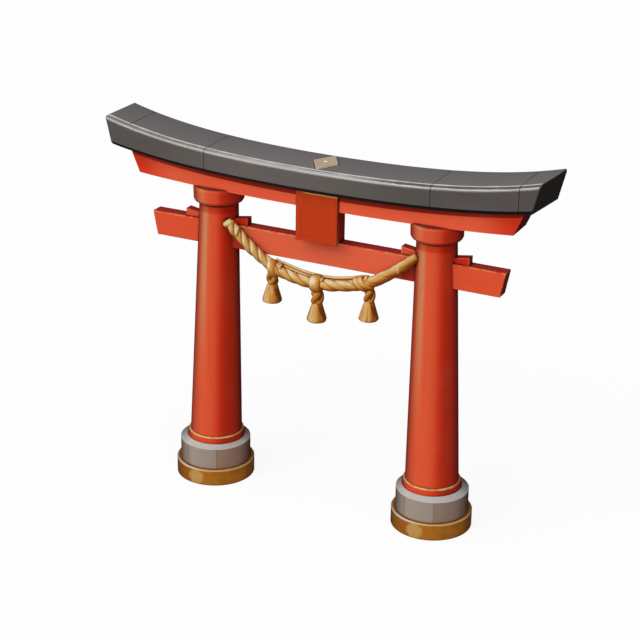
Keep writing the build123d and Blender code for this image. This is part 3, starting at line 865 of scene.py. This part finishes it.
HALF_POST_SPACING = 1.515
TOP_OVERHANG = 1.336
TOP_UNDER_RISE = 0.218
BOW_ROUNDNESS = 0.57
SHADOW_STRIP_HEIGHT = 0.082
top_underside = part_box("top_lintel_middle")[0].z
dress(["lower_lintel"], lacquer(
    "vermilion_lintel_lacquer", corner_shade_reach=0.03, rubbed=RUBBED_GOLD, rub_width=0.007, rub_strength=0.3,
    band=(top_underside, HALF_POST_SPACING + TOP_OVERHANG, TOP_UNDER_RISE, BOW_ROUNDNESS, SHADOW_STRIP_HEIGHT),
    faded_and_lit=(0.88, 0.120, 0.050, 1.0)))


# ---------------------------------------------------------------- dark top lintel
# The bowed top timber in five lengths, coated dark grey to shed the rain. The upper front arrises
# are rubbed pale; the undersides and end cuts are painted almost black as shade, and the top a painted sheen.

COATING = (0.136, 0.118, 0.109, 1.0)
COATING_LIGHT = (0.162, 0.146, 0.142, 1.0)
COATING_DEEP = (0.090, 0.078, 0.070, 1.0)
COATING_SHADE_BLACK = (0.030, 0.028, 0.026, 1.0)
TOP_BACK = (0.160, 0.148, 0.156, 1.0)
TOP_FRONT = (0.205, 0.190, 0.190, 1.0)
RUBBED_PALE = (0.50, 0.485, 0.46, 1.0)
RUBBED_PALEST = (0.68, 0.66, 0.64, 1.0)

# A narrow rubbed line that keeps to one place across the section and breaks up along it.
rubbed_line, given, result = new_effect(
    "rubbed_line",
    {"Place": 0.0, "Centre": 0.0, "Half Width": 0.008, "Vector": UNSET_VECTOR, "Break-up": 6.0}, ("Rubbed",))
off_centre = abs(given["Place"] - given["Centre"])
rough_edge = noise(given["Vector"], given["Break-up"], detail=5.0, roughness=0.7)
swollen = rough_edge.ramp(0.3, 0.7, 0.7, 1.25)
feed(result, {"Rubbed": (off_centre / (given["Half Width"] * swollen)).ramp(1.15, 0.75)})

dark_coating, tree, shader = new_finish("dark_lintel_coating")
where = place(tree, "TexCoord", out="Object")
x, y, z = where.axes()
aside, _, level = true_facing(tree)
grain = use_effect(tree, painted_grain, {
    "Along": where, "Fresh": COATING, "Deep": COATING_DEEP, "Sunned": COATING_LIGHT, "Weathering": 0.4})
looks_up = level.ramp(0.75, 0.9)
# Painted shade, almost black, on the undersides, the end cuts and in corners; the top takes a painted sheen,
# paler towards the front.
shade_below_and_aside = level.ramp(-0.3, -0.5).at_least(abs(aside).ramp(0.6, 0.85) * 0.8)
top_sheen_tone = blend(y.ramp(0.30, -0.30, kind="LINEAR"), TOP_BACK, TOP_FRONT)
coat = coats(grain["Colour"], (looks_up * 0.85, top_sheen_tone), (shade_below_and_aside, COATING_SHADE_BLACK),
             (corner_shade_of(tree, reach=0.03, strength=0.9), COATING_SHADE_BLACK))
# Darker towards both ends, except on the top.
darker_towards_ends = (x.ramp(-0.4, 1.6, 1.0, 0.72) * x.ramp(-1.0, -2.3, 1.0, 0.78)).at_least(looks_up * 0.94)
coat = blend(1.0, coat, darker_towards_ends, "MULTIPLY")
upper_line, lower_line, between = [
    use_effect(tree, rubbed_line, {
        "Place": y, "Centre": centre, "Half Width": half_width, "Vector": where})["Rubbed"]
    for centre, half_width in ((-0.272, 0.021), (-0.325, 0.0095), (-0.310, 0.012))]
tilted = level.ramp(0.4, 0.6)
on_slope = tilted * level.ramp(0.92, 0.85)
on_upper = upper_line * tilted
on_middle = between * on_slope * x.ramp(0.2, 1.1, 0.70, 0.0) * x.ramp(-0.8, -1.7, 1.0, 0.35)
# The wear runs over the lower arris on to the front face.
rounded_up = place(tree, "Bevel", {"Radius": 0.034}, samples=6).axes()[2]
over_arris = rounded_up.ramp(0.03, 0.16, 0.0, 0.9) * level.ramp(0.30, 0.15) * y.ramp(-0.315, -0.325)
lines = on_upper.at_least(lower_line * on_slope).at_least(on_middle.at_least(over_arris))
lines = lines * abs(aside).ramp(0.6, 0.4) * grain["Height"].ramp(0.55, 0.80, 1.0, 0.78)
coat = blend(lines, coat, blend(on_upper, RUBBED_PALE, RUBBED_PALEST))
paint(shader, coat, grain["Roughness"], grain["Height"], depth=0.0015, gloss=(0.12, 0.35))
dress(["top_lintel_" + label for label in ("left_end", "left", "middle", "right", "right_end")], dark_coating)


# ---------------------------------------------------------------- ridge plate and stud
# Lozenge of dull tan gilt sheet bedded on the ridge of the dark lintel, held by a domed stud of
# the same metal, and rubbed bright along its edges.

plate_gilt, tree, shader = new_finish("tan_gilt_plate", specular=0.5, metallic=0.35)
blotches = noise(place(tree, "TexCoord", out="Object"), 14.0, detail=5.0)
# The plate's side faces take a painted highlight; its edges are rubbed bright.
plate_colour = coats(
    blend(blotches.ramp(0.35, 0.65), (0.33, 0.235, 0.130, 1.0), (0.42, 0.315, 0.185, 1.0)),
    (true_facing(tree)[2].ramp(0.7, 0.4), (0.98, 0.86, 0.58, 1.0)),
    (rubbing(tree, width=0.008, break_up=20.0, strength=1.0), (0.85, 0.77, 0.58, 1.0)))
paint(shader, plate_colour, blotches.ramp(0.3, 0.7, 0.36, 0.50), blotches, depth=0.002)
dress(["ridge_plate", "ridge_stud"], plate_gilt)


# ---------------------------------------------------------------- gilt bands
# Narrow band of pale gilt sheet bent round the post above each foot ring, worn thin in places so
# that the red lacquer shows through.


def from_axis(tree, node):
    """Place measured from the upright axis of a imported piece."""
    middle_x, middle_y = middle_of(node)
    return place(tree, "Mapping", {"Vector": place(tree, "TexCoord", out="Object"),
                                   "Location": (-middle_x, -middle_y, 0.0)})


for side in ("left", "right"):
    low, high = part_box(side + "_gilt_band")
    band_gilt, tree, shader = new_finish(side + "_pale_gilt_band", metallic=0.15)
    worn = noise(place(tree, "TexCoord", out="Object"), 11.0, detail=4.0, roughness=0.7)
    # Redder towards the right-hand side.
    right_side = from_axis(tree, side + "_gilt_band").dot((0.90, 0.43, 0.0)) / ((high.x - low.x) / 2.0)
    thin = worn.ramp(0.48, 0.62, 0.0, 0.75).at_least(right_side.ramp(0.58, 0.80, 0.0, 0.85))
    band_colour = blend(thin, (0.66, 0.45, 0.17, 1.0), (0.62, 0.15, 0.05, 1.0))
    paint(shader, shade_away(band_colour, least=0.35, near=0.35, far=0.90),
          worn.ramp(0.4, 0.7, 0.34, 0.55), worn, depth=0.002)
    dress([side + "_gilt_band"], band_gilt)


# ---------------------------------------------------------------- plinth stones
# Drums of seven curved granite blocks under the posts, with fine upright joints and a paler,
# picked, sloping shoulder. Each block has a slightly different tone.

BLOCKS = 7.0
for side, turn, brown in (
        ("left", 30.0, (0.36, 0.207, 0.142, 1.0)), ("right", 25.0, (0.335, 0.222, 0.168, 1.0))):
    stone, tree, shader = new_finish(side + "_granite")
    centred = from_axis(tree, side + "_plinth_stone")
    x, y, z = centred.axes()
    block = (x.math("ARCTAN2", y * -1.0) + math.radians(360.0 - turn)) / math.radians(360.0 / BLOCKS)
    block_tone = place(tree, "TexWhiteNoise", {"W": block.math("FLOOR")}, noise_dimensions="1D")
    specks = noise(centred, 85.0, detail=3.0, roughness=0.7)
    mottling = noise(centred, 7.0, detail=5.0)
    crystals = place(tree, "TexVoronoi", {"Vector": centred, "Scale": 120.0})
    colour = coats(
        blend(block_tone, (0.365, 0.28, 0.215, 1.0), (0.385, 0.31, 0.25, 1.0)),
        (block.ramp(BLOCKS, BLOCKS + 0.02), brown),
        (mottling.ramp(0.35, 0.65, 0.0, 0.3), (0.33, 0.29, 0.26, 1.0)),
        (specks.ramp(0.58, 0.72, 0.0, 0.5), (0.11, 0.10, 0.095, 1.0)),
        (specks.ramp(0.42, 0.30, 0.0, 0.45), (0.62, 0.59, 0.55, 1.0)),
        (true_facing(tree)[2].ramp(0.4, 0.7),
         blend(specks.ramp(0.35, 0.65), (0.53, 0.51, 0.48, 1.0), (0.42, 0.40, 0.38, 1.0))),
        (rubbing(tree, width=0.006, break_up=22.0, strength=0.55), (0.55, 0.52, 0.48, 1.0)),
        # Painted shade in closed corners.
        (corner_shade_of(tree, reach=0.02, strength=0.7), (0.07, 0.055, 0.05, 1.0)))
    paint(shader, shade_away(colour, least=0.25, near=0.35, far=0.85), mottling.ramp(0.3, 0.7, 0.62, 0.80),
          specks + crystals * 0.6, depth=0.0025)
    dress([side + "_plinth_stone"], stone)


# ---------------------------------------------------------------- gilt shoes
# Burnished gilt sheet dressed round the base of each foot, with soft dents and tarnish spots, a painted
# highlight on the bevelled top edge and a round one on the front, and painted shade in the corners.

HIGHLIGHT_DISC_CENTRE = (-0.018, -0.149, 0.099)
for side in ("left", "right"):
    shoe_gilt, tree, shader = new_finish(side + "_gilt_sheet", metallic=0.12)
    centred = from_axis(tree, side + "_base_shoe")
    dents = noise(centred, 5.0, detail=3.0)
    burnish = noise(stretch(centred, (6.0, 6.0, 90.0)), 1.0, detail=5.0, roughness=0.65)
    spots = noise(centred, 32.0, detail=5.0, roughness=0.6)
    # Painted highlight: a paler round patch on the front of the wall.
    x, y, z = centred.axes()
    flattened = place(tree, "CombineXYZ", {"X": x, "Y": y * 0.3, "Z": z})
    away = place(tree, "VectorMath", {0: flattened, 1: HIGHLIGHT_DISC_CENTRE}, "Value", operation="DISTANCE")
    highlight_disc = away + spots * 0.06
    level = true_facing(tree)[2]
    # Painted highlight on the bevelled top edge, whiter towards the left front as a painted reflection.
    left_front = place(tree, "NewGeometry", out="Normal").dot((-0.80, -0.60, 0.0))
    rim_highlight = blend(left_front.ramp(0.35, 0.62), (0.50, 0.33, 0.12, 1.0), (0.50, 0.48, 0.45, 1.0))
    gold = coats(
        blend(dents.ramp(0.35, 0.65), (0.36, 0.112, 0.008, 1.0), (0.44, 0.160, 0.015, 1.0)),
        (burnish.ramp(0.5, 0.75, 0.0, 0.3), (0.50, 0.25, 0.05, 1.0)),
        (spots.ramp(0.58, 0.70, 0.0, 0.45), (0.24, 0.075, 0.008, 1.0)),
        (highlight_disc.ramp(0.110, 0.152, 0.76, 0.0), (0.56, 0.35, 0.115, 1.0)),
        (level.ramp(0.35, 0.5) * level.ramp(0.92, 0.8) * 0.95, rim_highlight),
        (rubbing(tree, width=0.010, break_up=8.0, strength=0.6), (0.58, 0.40, 0.16, 1.0)),
        # Painted shade in closed corners.
        (corner_shade_of(tree, reach=0.03, strength=0.7), (0.10, 0.040, 0.008, 1.0)))
    paint(shader, shade_away(gold, least=0.22, near=0.28, far=0.85), spots.ramp(0.3, 0.7, 0.34, 0.52),
          dents * 4.0 + burnish * 0.4, depth=0.003, gloss=(0.1, 0.25))
    dress([side + "_base_shoe"], shoe_gilt)


# ---------------------------------------------------------------- floor, lamps and surroundings
# Plain white floor, one large soft lamp high at the front left, and a broad soft surround that
# is brightest in front and overhead.


def seen_straight(tree):
    """One for rays that the eye, a mirror or glass sends out, and nought for those that only light things."""
    rays = tree.nodes.new("ShaderNodeLightPath").outputs
    seen = Wire(rays["Is Camera Ray"]).at_least(Wire(rays["Is Glossy Ray"]))
    return seen.at_least(Wire(rays["Is Transmission Ray"]))


bpy.ops.object.select_all(action="DESELECT")
bpy.ops.mesh.primitive_plane_add(size=240.0, location=(0.0, 0.0, 0.0))
floor = bpy.context.object
floor.name = "floor"
white, tree, shader = new_finish("white_floor", specular=0.1)
feed(shader.inputs, {"Base Color": (0.30, 0.30, 0.30, 1.0), "Roughness": 0.9})
pale = place(tree, "MixShader", {0: 0.10, 1: place(tree, "Emission", {"Color": WHITE, "Strength": 1.0}),
                                 2: place(tree, "BsdfDiffuse", {"Color": WHITE})})
both = place(tree, "MixShader", {0: seen_straight(tree), 1: Wire(shader.outputs[0]), 2: pale})
feed(tree.nodes["Material Output"].inputs, {"Surface": both})
floor.data.materials.append(white)

sun = bpy.data.lights.new("soft_key", "SUN")
sun.energy = 0.75
sun.angle = math.radians(40.0)
sun.color = (1.0, 0.965, 0.92)
key = bpy.data.objects.new("soft_key", sun)
towards = Vector((-0.45, -0.85, 1.0))
key.rotation_euler = towards.to_track_quat("Z", "Y").to_euler()
bpy.context.scene.collection.objects.link(key)

surround = bpy.data.worlds.new("surround")
bpy.context.scene.world = surround
surround.use_nodes = True
tree = surround.node_tree
lean = place(tree, "TexCoord", out="Generated").dot((-0.25, -1.13, 0.96))
strength = place(tree, "Mix", {0: seen_straight(tree), 2: lean.at_least(0.02), 3: 1.0})
feed(tree.nodes["Background"].inputs, {"Color": WHITE, "Strength": strength})
